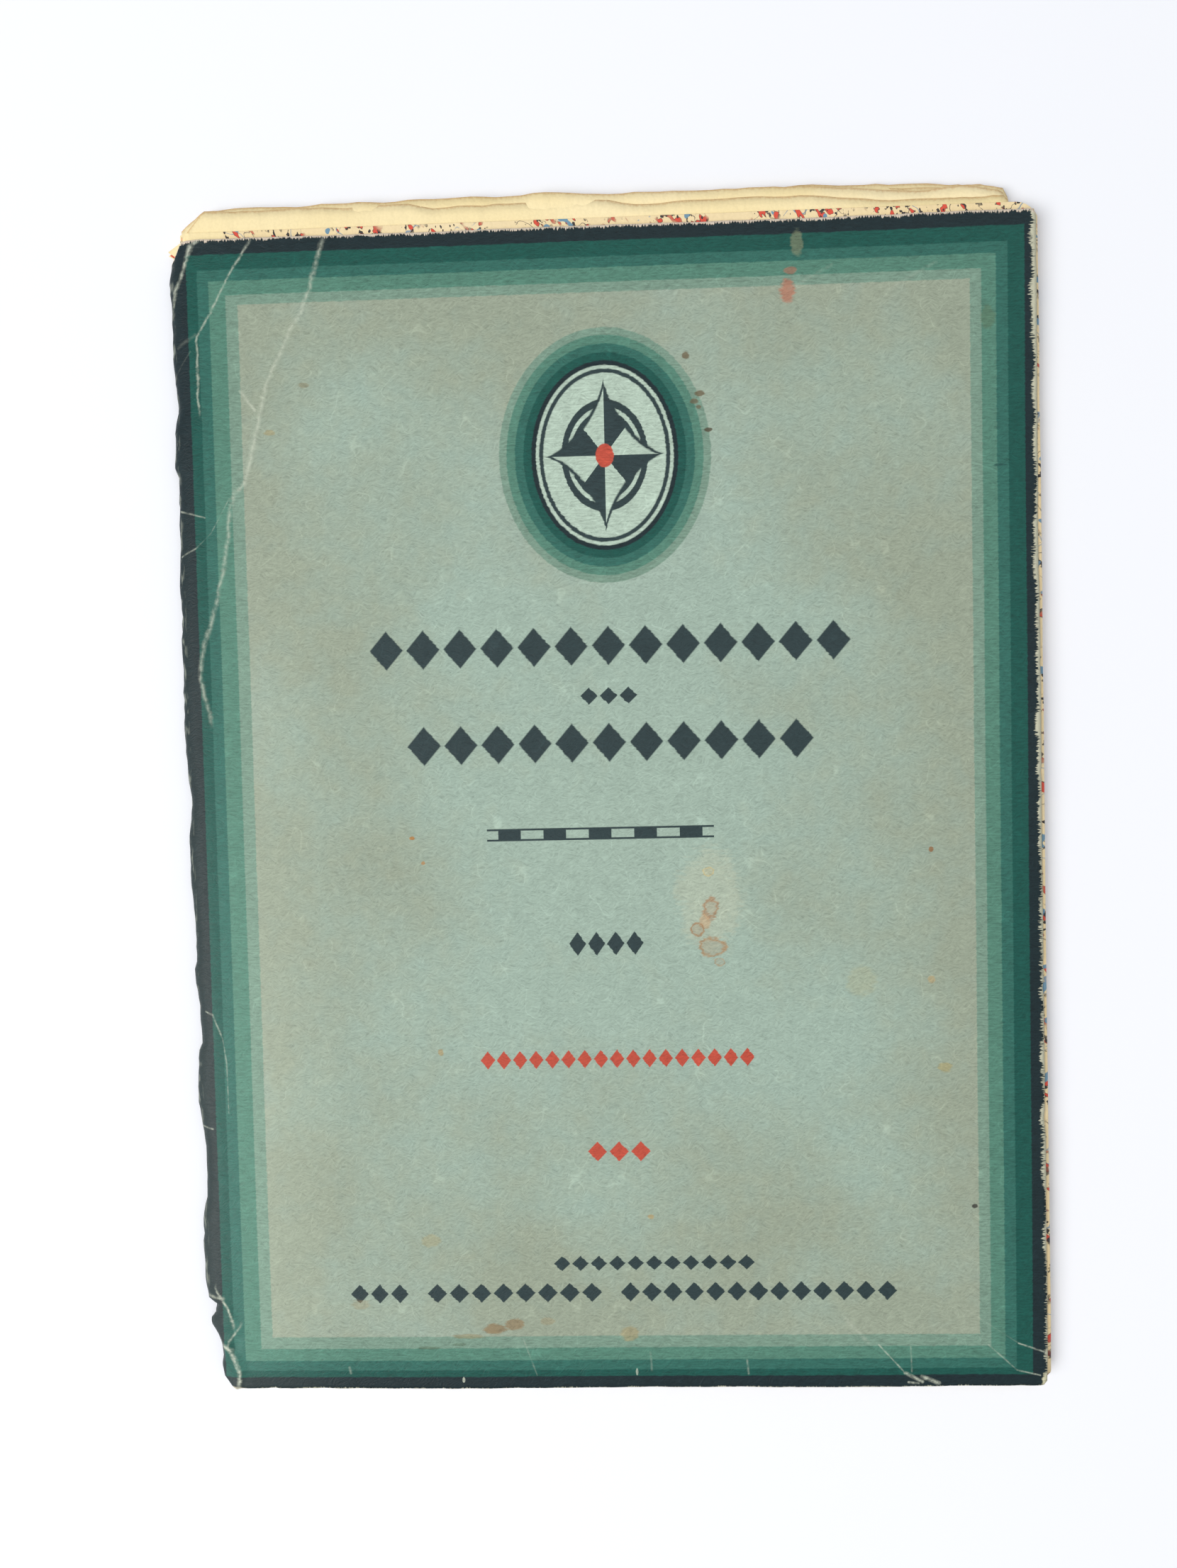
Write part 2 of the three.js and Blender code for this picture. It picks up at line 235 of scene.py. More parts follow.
def closed_sheet(name, outer, inner):
    """A closed skin over a sheet given as two grids of points, columns by rows: one face for each
    cell of the outer grid, the same cells turned round on the inner grid, and a rim joining the
    two grids' four sides. Outer faces look along (next column) x (next row). The outer faces have
    the piece's first material and the others its second, and only the rim is left unsmoothed."""
    columns, rows = outer.shape[:2]
    index = np.arange(columns * rows).reshape(columns, rows)
    under = index + columns * rows

    def cells(a):
        return np.stack([a[:-1, :-1], a[1:, :-1], a[1:, 1:], a[:-1, 1:]], -1).reshape(-1, 4)

    def strip(a, b):
        return np.stack([a[1:], a[:-1], b[:-1], b[1:]], -1)

    rim = np.concatenate([
        strip(index[:, 0], under[:, 0]), strip(index[::-1, -1], under[::-1, -1]),
        strip(index[0, ::-1], under[0, ::-1]), strip(index[-1, :], under[-1, :]),
    ])
    faces = np.concatenate([cells(index), cells(under)[:, ::-1], rim])
    points = np.concatenate([outer.reshape(-1, 3), inner.reshape(-1, 3)]) * MM
    mesh = bpy.data.meshes.new(name)
    mesh.from_pydata(points, [], faces)
    per_side = (columns - 1) * (rows - 1)
    kind = np.repeat([0, 1, 2], [per_side, per_side, len(rim)])
    mesh.polygons.foreach_set("material_index", np.minimum(kind, 1).astype(np.int32))
    mesh.polygons.foreach_set("use_smooth", kind < 2)
    piece = bpy.data.objects.new(name, mesh)
    bpy.context.scene.collection.objects.link(piece)
    return piece


def note_on(piece, name, values):
    """Writes three values for each point of the outer grid, on both faces of a closed sheet."""
    twice = np.concatenate([values.reshape(-1, 3)] * 2).astype(np.float32)
    piece.data.attributes.new(name, "FLOAT_VECTOR", "POINT").data.foreach_set("vector", twice.ravel())


class Tone:
    """A value that changes over a surface: it wraps a node's socket, and arithmetic adds nodes."""

    def __init__(self, finish, socket):
        self.finish, self.socket = finish, socket

    def worked(self, operation, *values):
        return self.finish.add("ShaderNodeMath", {"operation": operation}, dict(enumerate(values)))

    def __add__(self, other):
        return self.worked("ADD", self, other)

    def __sub__(self, other):
        return self.worked("SUBTRACT", self, other)

    def __rsub__(self, other):
        return self.worked("SUBTRACT", other, self)

    def __mul__(self, other):
        return self.worked("MULTIPLY", self, other)

    def __truediv__(self, other):
        return self.worked("DIVIDE", self, other)

    def __abs__(self):
        return self.worked("ABSOLUTE", self)

    def __pow__(self, other):
        return self.worked("POWER", self, other)

    def most(self, other):
        return self.worked("MAXIMUM", self, other)

    def over(self, edge, soft=0.2):
        """0 below the edge and 1 above it, with a straight rise of width soft between them."""
        return self.finish.add("ShaderNodeMapRange", {"clamp": True}, {
            "Value": self, "From Min": edge - soft / 2, "From Max": edge + soft / 2})

    __radd__, __rmul__ = __add__, __mul__


class Finish:
    """One material. add() puts in one node: its settings first, then its sockets' values."""

    def __init__(self, name):
        self.material = bpy.data.materials.new(name)
        self.material.use_nodes = True
        self.tree = self.material.node_tree
        self.tree.nodes.clear()

    def add(self, kind, settings, sockets, output=0):
        node = self.tree.nodes.new(kind)
        for name, value in settings.items():
            setattr(node, name, value)
        for name, value in sockets.items():
            if isinstance(value, Tone):
                self.tree.links.new(value.socket, node.inputs[name])
            else:
                node.inputs[name].default_value = value
        return Tone(self, node.outputs[output]) if node.outputs else None

    def noted(self, name):
        """What note_on wrote on the mesh."""
        return self.add("ShaderNodeAttribute", {"attribute_name": name}, {}, 1)

    def parts(self, vector):
        return [self.add("ShaderNodeSeparateXYZ", {}, {0: vector}, part) for part in range(3)]

    def grain(self, place, size, stretch=(1, 1), detail=1.0, turn=0.0):
        """Flat noise from 0 to 1, its lumps about size long and drawn out along x and y by
        stretch, then turned by an angle in radians."""
        scaled = self.add("ShaderNodeMapping", {"vector_type": "TEXTURE"}, {
            "Vector": place, "Rotation": (0, 0, turn),
            "Scale": (size * stretch[0], size * stretch[1], 1)})
        return self.add("ShaderNodeTexNoise", {"noise_dimensions": "2D"}, {
            "Vector": scaled, "Scale": 1.0, "Detail": detail})

    def spot(self, place, x, y, half_x, half_y):
        """How far out of an oval a place is: 0 at its middle and 1 on its outline."""
        scale = (1 / half_x, 1 / half_y, 0)
        inside = self.add("ShaderNodeVectorMath", {"operation": "MULTIPLY_ADD"}, {
            0: place, 1: scale, 2: (-x * scale[0], -y * scale[1], 0)})
        return self.add("ShaderNodeVectorMath", {"operation": "LENGTH"}, {0: inside}, 1)

    def stroke(self, place, x0, y0, x1, y1):
        """Distance to the straight line between two places: the offset from its start, less the
        part of that which runs along the line, held between the two ends."""
        run = np.hypot(x1 - x0, y1 - y0)
        way = ((x1 - x0) / run, (y1 - y0) / run, 0)
        offset = self.add("ShaderNodeVectorMath", {"operation": "SUBTRACT"}, {0: place, 1: (x0, y0, 0)})
        along = self.add("ShaderNodeVectorMath", {"operation": "DOT_PRODUCT"}, {0: offset, 1: way}, 1)
        along = self.add("ShaderNodeClamp", {}, {"Value": along, "Min": 0.0, "Max": run})
        reached = self.add("ShaderNodeVectorMath", {"operation": "SCALE"}, {0: way, 3: along})
        away = self.add("ShaderNodeVectorMath", {"operation": "SUBTRACT"}, {0: offset, 1: reached})
        return self.add("ShaderNodeVectorMath", {"operation": "LENGTH"}, {0: away}, 1)

    def laid(self, under, ink, mask):
        """One colour laid over another where the mask is 1."""
        return self.add("ShaderNodeMix", {"data_type": "RGBA"}, {0: mask, 6: under, 7: ink}, 2)

    def shaded(self, colour, share):
        """A colour made lighter or darker: each of its parts times the share."""
        return self.add("ShaderNodeVectorMath", {"operation": "SCALE"}, {0: colour, 3: share})

    def done(self, colour, roughness, height, depth, **fixed):
        """The shader: height is a pattern whose full rise stands depth millimetres proud."""
        bump = self.add("ShaderNodeBump", {}, {
            "Height": height, "Distance": depth * MM, "Strength": 1.0})
        shader = self.add("ShaderNodeBsdfPrincipled", {}, {
            "Base Color": colour, "Roughness": roughness, "Normal": bump, **fixed})
        self.add("ShaderNodeOutputMaterial", {}, {0: shader})
        return self.material


def ink(code):
    """A printer's colour code, #RRGGBB as seen, as linear red, green and blue with alpha 1."""
    seen = np.array([int(code[k:k + 2], 16) for k in (1, 3, 5)]) / 255
    return (*np.where(seen < 0.04045, seen / 12.92, ((seen + 0.055) / 1.055) ** 2.4), 1.0)


# The frame of bands: distance from the print's middle to each band's inner edge, on each side
BANDS_FORE = [64.0, 65.95, 68.45, 70.45, 73.3]
BANDS_SPINE = [63.9, 66.05, 69.0, 71.0, 72.9]
BANDS_HEAD = [93.0, 94.7, 97.2, 99.1, 101.8]
BANDS_FOOT = [92.95, 95.1, 97.35, 99.15, 100.35]
BAND_INKS = ["#779382", "#53806F", "#31665B", "#185148", "#19292D"]
FIELD_COOL, FIELD_WARM, BADGE_INK = "#9CB0A2", "#959F8C", "#AFC2B2"
DARK_INK, RED_INK = "#2C3C3E", "#BA4D3B"
# The last is the pale of print cracked to the core, and also the veil of the painted sheen on the lower
# spine side
CORE, HEAD_CORE, CREASE_AND_SHEEN = "#BDBCA5", "#D8C9B6", "#CCD2BF"

# Short scratches and cracks: x and y of one end, x and y of the other, half width, strength
SCRATCHES = [
    (-75.9, 57.3, -71.1, 55.9, 0.26, 0.6), (-75.8, 49.2, -72.9, 50.5, 0.24, 0.5),
    (-76.0, 80.6, -72.6, 85.2, 0.2, 0.1), (-74.9, 86.0, -71.6, 88.0, 0.5, 0.12),
    (-72.9, 50.5, -70.1, 53.1, 0.24, 0.3), (-70.1, 53.1, -66.6, 59.1, 0.2, 0.3),
    (-74.2, -32.8, -72.9, -33.4, 0.3, 0.8),
    (-72.9, -33.4, -71.2, -37.7, 0.26, 0.5), (-71.2, -37.7, -70.6, -42.2, 0.24, 0.45),
    (-70.6, -42.2, -70.5, -51.3, 0.22, 0.4), (-75.8, -53.9, -73.6, -54.3, 0.26, 0.6),
    (-75.9, -85.3, -72.8, -85.7, 0.5, 0.7), (46.0, -94.9, 50.4, -99.8, 0.26, 0.6),
    (40.2, -90.2, 44.0, -94.4, 0.6, 0.3), (51.7, -95.3, 51.8, -99.8, 0.24, 0.35),
    (70.8, -94.7, 75.6, -96.4, 0.24, 0.75), (60.0, -87.5, 70.8, -94.7, 0.2, 0.14),
    (65.5, -95.0, 70.5, -99.6, 0.24, 0.4), (70.5, -99.6, 74.6, -100.6, 0.24, 0.7),
    (50.6, -100.0, 53.6, -101.6, 0.45, 0.85), (53.6, -100.7, 56.6, -101.9, 0.5, 0.85),
    (51.2, -101.7, 53.0, -101.9, 0.3, 0.8), (-64.0, 78.0, -61.5, 74.5, 0.45, 0.5),
    (-18.0, -93.4, -15.6, -100.2, 0.26, 0.25), (5.0, -96.0, 5.2, -99.4, 0.3, 0.2),
    (-49.9, -98.6, -49.7, -99.6, 0.35, 0.5), (22.4, -97.6, 22.6, -100.0, 0.3, 0.35),
    (33.0, 92.4, 40.4, 96.2, 0.5, 0.14), (50.2, 91.8, 58.2, 96.0, 0.5, 0.12),
]

# The oval badge: its rings' half widths, each taller than wide by the same amount
BADGE_X, BADGE_Y, BADGE_TALLER = 0.3, 64.7, 3.6
BADGE_BANDS = [18.6, 17.3, 15.8, 14.3, 12.9]
BADGE_PALE_RING, BADGE_DARK_LINE, BADGE_PALE = 12.1, 11.5, 10.8

# The compass in it: half widths of its disc and red centre, how far in from the disc's rim its
# pale ring runs and that ring's half width, the reach of its points and of their pale halves, the
# power that draws the points in, and its width over its height
DISC, CENTRE = 7.6, 1.6
DISC_RING, DISC_RING_HALF = 1.3, 0.3
POINTS, PALE_POINTS = 10.4, 9.4
POINTED = 0.72
COMPASS_WIDTH = 0.78

# Rows of printed lozenges: x from, x to, y from, y to, how many, and whether they are red. The
# gap between two is a tenth of the pitch.
LOZENGE_GAP = 0.1
PRINT_ROWS = [
    (-42.3, 42.7, 28.0, 34.9, 13, False), (-5.0, 5.1, 21.1, 24.1, 3, False),
    (-36.0, 36.0, 10.9, 17.8, 11, False), (-8.0, 5.3, -23.7, -19.4, 4, False),
    (-24.4, 24.7, -44.0, -40.7, 17, True), (-5.5, 5.8, -61.0, -57.4, 3, True),
    (-12.1, 24.1, -81.0, -78.3, 11, False), (-49.2, -38.6, -86.7, -83.2, 3, False),
    (-35.2, -3.5, -86.7, -83.2, 8, False), (-0.1, 49.4, -86.7, -83.2, 13, False),
]

# The scale bar: x from, x to, y from, y to, how many divisions, and how thick its rules are
SCALE_BAR = (-22.2, 18.2, -2.9, -0.7, 10, 0.35)

# Marks left on the card: x, y, half width, half height, colour, strength, and whether it is a ring
MARKS = [
    (32.7, 92.0, 1.5, 1.9, "#B06A52", 0.7, False), (33.3, 95.5, 1.0, 0.6, "#B06A52", 0.5, False),
    (34.4, 100.1, 1.0, 2.0, "#7C8468", 0.6, False), (14.8, 81.5, 0.65, 0.6, "#66553A", 0.8, False),
    (17.1, 74.9, 0.9, 0.55, "#66553A", 0.8, False), (16.2, 73.6, 0.75, 0.45, "#66553A", 0.7, False),
    (16.9, 72.6, 0.4, 0.3, "#66553A", 0.7, False), (18.5, 68.6, 0.7, 0.4, "#4E4230", 0.85, False),
    (17.2, -13.6, 5.5, 8.5, "#C3C2A6", 0.3, False), (17.1, -9.0, 0.95, 0.8, "#C4B584", 0.9, True),
    (17.4, -15.6, 1.6, 2.0, "#A07E5E", 0.9, True), (16.2, -17.9, 0.9, 1.2, "#BDA27E", 0.7, False),
    (15.0, -19.2, 1.1, 1.1, "#A07852", 0.9, True), (17.9, -22.6, 2.5, 1.6, "#A48460", 0.9, True),
    (18.8, -25.2, 0.9, 0.7, "#A88C6A", 0.7, True), (-35.7, -2.0, 0.5, 0.35, "#B07B3F", 0.9, False),
    (-33.8, -6.5, 0.35, 0.35, "#B07B3F", 0.7, False), (56.3, -5.8, 0.35, 0.4, "#96683C", 0.8, False),
    (56.1, -28.9, 0.7, 0.8, "#A99A74", 0.8, False), (63.3, -69.7, 0.45, 0.4, "#3C3A36", 0.9, False),
    (-23.2, -91.6, 1.8, 0.9, "#8C7350", 0.75, False), (-19.4, -90.7, 1.7, 0.9, "#8C7350", 0.7, False),
    (-13.4, -90.2, 1.3, 0.7, "#968560", 0.4, False), (-28.0, -92.9, 2.6, 0.4, "#8F8058", 0.5, False),
    (-35.0, -95.0, 2.0, 0.3, "#4E5F48", 0.5, False), (-29.6, -94.4, 1.2, 0.3, "#4E5F48", 0.45, False),
    (1.3, -92.6, 1.7, 1.2, "#A0936A", 0.6, False), (-59.0, 70.5, 1.1, 0.5, "#A08E5C", 0.5, False),
    (-52.6, 78.6, 1.0, 0.5, "#7C7050", 0.5, False), (-31.6, -40.8, 0.5, 0.6, "#A98A50", 0.6, False),
    (5.6, -71.2, 0.6, 0.5, "#A98A50", 0.6, False), (58.4, -44.6, 1.2, 0.9, "#A99A60", 0.55, False),
    (43.9, -29.0, 2.6, 2.6, "#A9AA86", 0.35, False), (-34.4, -75.2, 1.6, 1.1, "#A59B70", 0.45, False),
    (-47.4, -87.0, 2.0, 0.9, "#9C8C66", 0.35, False), (67.1, 86.2, 1.2, 1.9, "#5C7053", 0.45, False),
    (69.0, 61.0, 1.2, 0.25, "#24504A", 0.8, False),
    (75.9, -101.6, 0.9, 1.5, "#CFCBAA", 0.95, False), (-72.0, -102.6, 2.0, 0.5, "#CFC6B0", 0.9, False),
    (-29.0, -100.9, 0.25, 0.5, "#B4B9A8", 0.8, False), (2.5, -99.6, 0.2, 0.6, "#A4AF9F", 0.8, False),
]

card = Finish("printed card")
place = card.noted("card_place")
across, up, side = card.parts(place)
flat = card.add("ShaderNodeVectorMath", {"operation": "MULTIPLY"}, {0: place, 1: (1, 1, 0)})
fore_in, head_in, foot_in = card.parts(card.noted("edges_in"))
on_front = side.over(0, 0.1)
fuzz = card.grain(flat, 0.5, (3, 1), 2.0) - 0.5
speckle = card.grain(flat, 0.5, detail=2.0) - 0.5
cloud = card.grain(flat, 4.5, detail=3.0) - 0.5

# Fibres: noise drawn out into strokes, on a place pushed about so that the strokes bend
pushed = card.add("ShaderNodeTexNoise", {"noise_dimensions": "2D"}, {
    "Vector": flat, "Scale": 0.4, "Detail": 0.0}, 1)
strewn = card.add("ShaderNodeVectorMath", {"operation": "MULTIPLY_ADD"}, {
    0: pushed, 1: (1.6, 1.4, 0), 2: flat})
level_fibres = card.grain(strewn, 0.26, (6, 1), 1.0, 0.05)
felt = level_fibres.most(card.grain(strewn, 0.3, (6, 1), 1.0, 0.6)) - 0.58
sunk = card.grain(strewn, 0.24, (7, 1), 0.0, -0.3).over(0.7, 0.14)
weave = card.grain(flat, 0.26, (7, 1), 0.0) - 0.5

# The field's tint, cool and lighter in the middle, warmer and darker towards its edges
far_out = (abs(across) * (1 / BANDS_FORE[0])).most(abs(up) * (1 / BANDS_HEAD[0]))
warmed = (far_out + cloud * 0.7 + card.grain(flat, 28) - 0.5).over(0.68, 0.7)
colour = card.laid(ink(FIELD_COOL), ink(FIELD_WARM), warmed)

# Printed edges wander a little with the card's fibres
x_fuzzy, y_fuzzy = across + fuzz * 0.3, up + fuzz * 0.3

# Half width of the badge's oval through each place. The oval is taller than wide by a fixed
# amount, so its shape depends on its size, and two more rounds from a first guess settle it.
off_x, off_y = abs(x_fuzzy - BADGE_X), abs(y_fuzzy - BADGE_Y)
FIRST_SQUEEZE = 0.66
ring = (off_x * off_x + off_y * off_y * FIRST_SQUEEZE) ** 0.5
for _ in range(2):
    squeeze = ring / (ring + BADGE_TALLER)
    ring = (off_x * off_x + off_y * off_y * squeeze * squeeze) ** 0.5

# The bands of the frame and of the badge, each laid over the one before, so the first is widest
bands = []
for code, fore, spine, head, foot, badge in zip(
        BAND_INKS, BANDS_FORE, BANDS_SPINE, BANDS_HEAD, BANDS_FOOT, BADGE_BANDS):
    framed = x_fuzzy.over(fore).most((0 - x_fuzzy).over(spine))
    framed = framed.most(y_fuzzy.over(head)).most((0 - y_fuzzy).over(foot))
    framed = framed.most((1 - ring.over(badge)) * on_front)
    bands.append(framed)
    colour = card.laid(colour, ink(code), framed)
banded = bands[0]
colour = card.laid(colour, ink(BADGE_INK), (1 - ring.over(BADGE_PALE_RING)) * on_front)
colour = card.laid(colour, ink(DARK_INK), (1 - ring.over(BADGE_DARK_LINE)) * on_front)
colour = card.laid(colour, ink(BADGE_INK), (1 - ring.over(BADGE_PALE)) * on_front)

# In the badge, a plain compass, a little taller than wide: a dark disc with a pale ring, four
# long points over it, each half shaded, and a red centre
tall = off_y * COMPASS_WIDTH
radius = (off_x * off_x + tall * tall) ** 0.5
disc_ring = 1 - abs(radius - DISC + DISC_RING).over(DISC_RING_HALF, 0.12)
points = off_x ** POINTED + tall ** POINTED
pale_side = ((across - BADGE_X) * (up - BADGE_Y) * (off_x - tall)).over(0, 0.05)
pale_half = (1 - points.over(PALE_POINTS ** POINTED, 0.2)) * pale_side
colour = card.laid(colour, ink(DARK_INK), (1 - radius.over(DISC, 0.12)) * on_front)
colour = card.laid(colour, ink(BADGE_INK), disc_ring * on_front)
colour = card.laid(colour, ink(DARK_INK), (1 - points.over(POINTS ** POINTED, 0.2)) * on_front)
colour = card.laid(colour, ink(BADGE_INK), pale_half * on_front)
colour = card.laid(colour, ink(RED_INK), (1 - radius.over(CENTRE, 0.15)) * on_front)

lozenge_half = (1 - LOZENGE_GAP) / 2
for x_from, x_to, y_from, y_to, count, is_red in PRINT_ROWS:
    pitch, half = (x_to - x_from) / (count - LOZENGE_GAP), (y_to - y_from) / 2
    along = (x_fuzzy - x_from) / pitch
    inside = along.over(0, 0.02) * (1 - along.over(count, 0.02))
    aside = abs(along.worked("FRACT", along) - lozenge_half) * (1 / lozenge_half)
    lozenge = 1 - (aside + abs(y_fuzzy - (y_from + half)) * (1 / half)).over(1, 0.1)
    colour = card.laid(colour, ink(RED_INK if is_red else DARK_INK), lozenge * inside * on_front)

# A scale bar: two thin rules with every other division between them filled
x_from, x_to, y_from, y_to, count, rule = SCALE_BAR
along = (across - x_from) * (count / (x_to - x_from))
off_middle, half = abs(up - (y_from + y_to) / 2), (y_to - y_from) / 2
filled = along.worked("PINGPONG", along, 1.0).over(0.5, 0.02).most(off_middle.over(half - rule, 0.1))
inside = along.over(0, 0.02) * (1 - along.over(count, 0.02)) * (1 - off_middle.over(half, 0.1))
colour = card.laid(colour, ink(DARK_INK), filled * inside * on_front)

for x, y, half_x, half_y, code, strength, is_ring in MARKS:
    spot = card.spot(place, x, y, half_x, half_y) + cloud * 0.9 + fuzz * 0.7
    mask = 1 - spot.over(1, 0.25 if is_ring else 0.35)
    if is_ring:
        mask = mask * (0.3 + 0.7 * spot.over(0.76, 0.2))
    colour = card.laid(colour, ink(code), mask * strength * on_front)

# Light and shade of the fibres and specks; the weave shows in the bands' ink. Hairs are thin pale
# curves where slow noise crosses its middle, here and there. The lower spine side is painted
# lighter: a painted sheen.
hairs = (1 - abs(card.grain(flat, 8) - 0.5).over(0.004, 0.008)) * cloud.over(0.02, 0.1)
painted_sheen = (0 - across).over(62, 26) * (0 - up).over(-20, 110)
shade = felt * 0.5 - sunk * 0.1 + weave * banded * 0.35 + hairs * 0.18 + painted_sheen * 0.25
shade = shade + speckle * 0.22 + cloud * 0.16 + 1
colour = card.shaded(colour, shade)
# Painted sheen: a faint pale veil laid over the lower spine side
colour = card.laid(colour, ink(CREASE_AND_SHEEN), painted_sheen * 0.035)

# Rubbed to the core: in tufts along each cut edge, widest at the fore edge and towards its head
tufts_x, tufts_y = card.grain(flat, 0.24, (5, 1)) - 0.5, card.grain(flat, 0.24, (1, 5)) - 0.5
to_its_head = (up + BANDS_HEAD[0]) * 0.0028
at_fore = (0.2 - fore_in + to_its_head + tufts_x * 1.5 + cloud * 1.6).over(0, 0.3)
at_head = (0.3 - head_in + tufts_y * 1.0 + cloud * 0.5).over(0, 0.2)
at_foot = (0.02 - foot_in + tufts_y * 0.6 + cloud * 0.5).over(0, 0.2)
colour = card.laid(colour, ink(CORE), at_fore.most(at_foot))
colour = card.laid(colour, ink(HEAD_CORE), at_head)
rubbed = at_fore.most(at_foot).most(at_head)

# Cracked to the core along the creases, in short scratches, and in streaks down the spine
cracked = 0.3 + 0.7 * card.grain(flat, 0.9, detail=2.0).over(0.48, 0.3)
wobble = cloud * 1.1 + fuzz * 0.3
for name, creases in CREASES.items():
    for beside, (line, _, _, half, strength) in zip(card.parts(card.noted(name)), creases):
        y_low, y_high = line[:, 1].min() - PRINT_MIDDLE, line[:, 1].max() - PRINT_MIDDLE
        drawn = (1 - abs(beside + wobble).over(half / 2, half)) * up.over(y_low, 2)
        drawn = (drawn * (1 - up.over(y_high, 2))) ** 1.4 * cracked * strength * on_front
        colour = card.laid(colour, ink(CREASE_AND_SHEEN), drawn)
scratched = 0
for x0, y0, x1, y1, half, strength in SCRATCHES:
    beside = card.stroke(flat, x0, y0, x1, y1) + abs(wobble) * 0.4
    scratched = ((1 - beside.over(half / 2, half)) * strength).most(scratched)
streaks = (0 - across).over(75.6, 1.0) * card.grain(flat, 0.7, (1, 4), 2.0).over(0.6, 0.16) * 0.3
colour = card.laid(colour, ink(CREASE_AND_SHEEN), (scratched * cracked).most(streaks) * on_front)

raised = felt - sunk * 0.2 + speckle * 0.4
printed_card = card.done(
    colour, 0.47 + speckle * 0.2 + rubbed * 0.3, raised, 0.06, **{"Specular IOR Level": 0.2})

plain = Finish("plain card")
place = plain.noted("card_place")
flecks = plain.grain(place, 0.6, detail=2.0)
blush = plain.grain(place, 18)
colour = plain.laid(ink("#CFC9B4"), ink("#C3BCA3"), blush)
colour = plain.shaded(colour, (flecks - 0.5) * 0.25 + 1)
plain_card = plain.done(colour, 0.8, flecks, 0.03)

outer, inner, card_place, card_edges = cover_surface()
cover = closed_sheet("cover_card", outer, inner)
note_on(cover, "card_place", card_place)
note_on(cover, "edges_in", card_edges)
for name, creases in CREASES.items():
    beside = [beside_line(outer[..., 0], outer[..., 1], line) for line, *_ in creases]
    note_on(cover, name, np.stack(beside, -1))
cover.data.materials.append(printed_card)
cover.data.materials.append(plain_card)
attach(cover, "root")
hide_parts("cover")

# ----------------------------------------------------------------------------------------------
# The map: one large sheet of thin paper, printed on one side, folded in three across its height
# and then pleated in five across its width. Its printed folds stand just proud of the cover, and
# the blank margin of its last leaf, torn at the corners, stands out further at the head.
# ----------------------------------------------------------------------------------------------
map_low, map_high = (np.array(corner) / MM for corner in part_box("map_sheet"))
PAPER = 0.1  # thickness
LEAF_PITCH, PLEAT_PITCH = 0.16, 0.5  # from leaf to leaf in a pleat, and from pleat to pleat
PLEATS = 5
MAP_HEAD, MAP_FOOT = 101.7, map_low[1]  # y of the folds
CUT_HEAD = 105  # y of the cut edge
MAP_FORE_LEAN = 0.4  # as the cover's
MAP_FORE, MAP_SPINE = map_high[0] - MAP_FORE_LEAN, -73.8
FREE_EDGE = -72.6  # where the top pleat starts, beside the spine
CORNER_WEAR, FORE_ROUND = 3.8, 2.6  # radii that the folded corners are worn to
TOP_PLEAT = map_high[2] - LEAF_PITCH - PAPER / 2  # level of its middle leaf
PRINT_MARGIN = 8

# Each pleat's cut edge at the head, from the spine to the fore edge, as [x, y]
HEAD_EDGES = [
    [[-72.6, 101.6], [-69.3, 105.4], [-33, 105.5], [-28, 104.7], [-2, 105.2], [6, 103.9], [36, 104.4],
     [52, 103], [70.5, 103.2], [71.4, 102.6], [72.0, 100]],
    [[-74, 101.6], [-69.5, 105.8], [-50, 106.1], [-10, 106.4], [7, 105.8], [36, 106.2], [46, 105.3],
     [57, 104.6], [64, 105.2], [70.2, 104], [70.9, 103.6], [71.6, 100]],
    [[-74, 101.6], [-70.5, 104.6], [-30, 105.8], [20, 106], [36, 106.7], [48, 106.5], [63, 105.7],
     [70.7, 104.8], [71.0, 103.8], [71.6, 103.2], [71.9, 100]],
    [[-74, 101.4], [-70, 104.8], [-20, 105.4], [40, 106.2], [69, 104.6], [70.8, 104.2], [71.4, 101]],
    [[-74, 101.4], [-69, 105], [0, 105.6], [50, 106], [68, 104.9], [71.0, 103.6], [71.7, 101]],
]
# How far in the folds by the spine are pushed: [y, distance]
SPINE_CRUSH = np.array([[-106.2, 3.1], [-99, 2.4], [-92, 1.4], [-88, 0.7], [95, 0.1], [101.7, -0.5]])
# A torn scrap of one of those folds stands out beside the cover: [y, distance]
SCRAP = np.array([[96.8, 0], [97.5, 2.2], [99.1, 2.9], [99.7, 0.2], [100.4, 0]])
SCRAP_FOLD = 2  # the fold by the spine that joins the second pleat down and the third

# The map's inks, and the brown that light has given its cut edges
RIVER, THIN_ROAD, DARK, MAIN_ROAD, LAKE = "#8798A6", "#6A6055", "#3A3633", "#D8503C", "#6F93A8"
CUT_BROWN = "#D9A76A"


def leaf_rows():
    """One line up and down a pleat's three leaves. Each row has its leaf, its share of the way
    from the leaf's low end to its high end, its height over the middle leaf, its step off that
    end in y, and the printed face's normal (ny, nh). The two bends are half circles."""
    bend = np.linspace(0, np.pi, 7)[1:-1]
    sin, cos = np.sin(bend), np.cos(bend)
    radius = LEAF_PITCH / 2
    rise = spaced(0, (0.9, 17), (1, 12))
    return joined([
        (0, rise, LEAF_PITCH, 0, 0, 1),
        (0, 1, radius + radius * cos, radius * sin, sin, cos),
        (1, rise[::-1], 0, 0, 0, -1),
        (1, 0, -radius + radius * cos, -radius * sin, -sin, -cos),
        (2, rise, -LEAF_PITCH, 0, 0, 1),
    ])


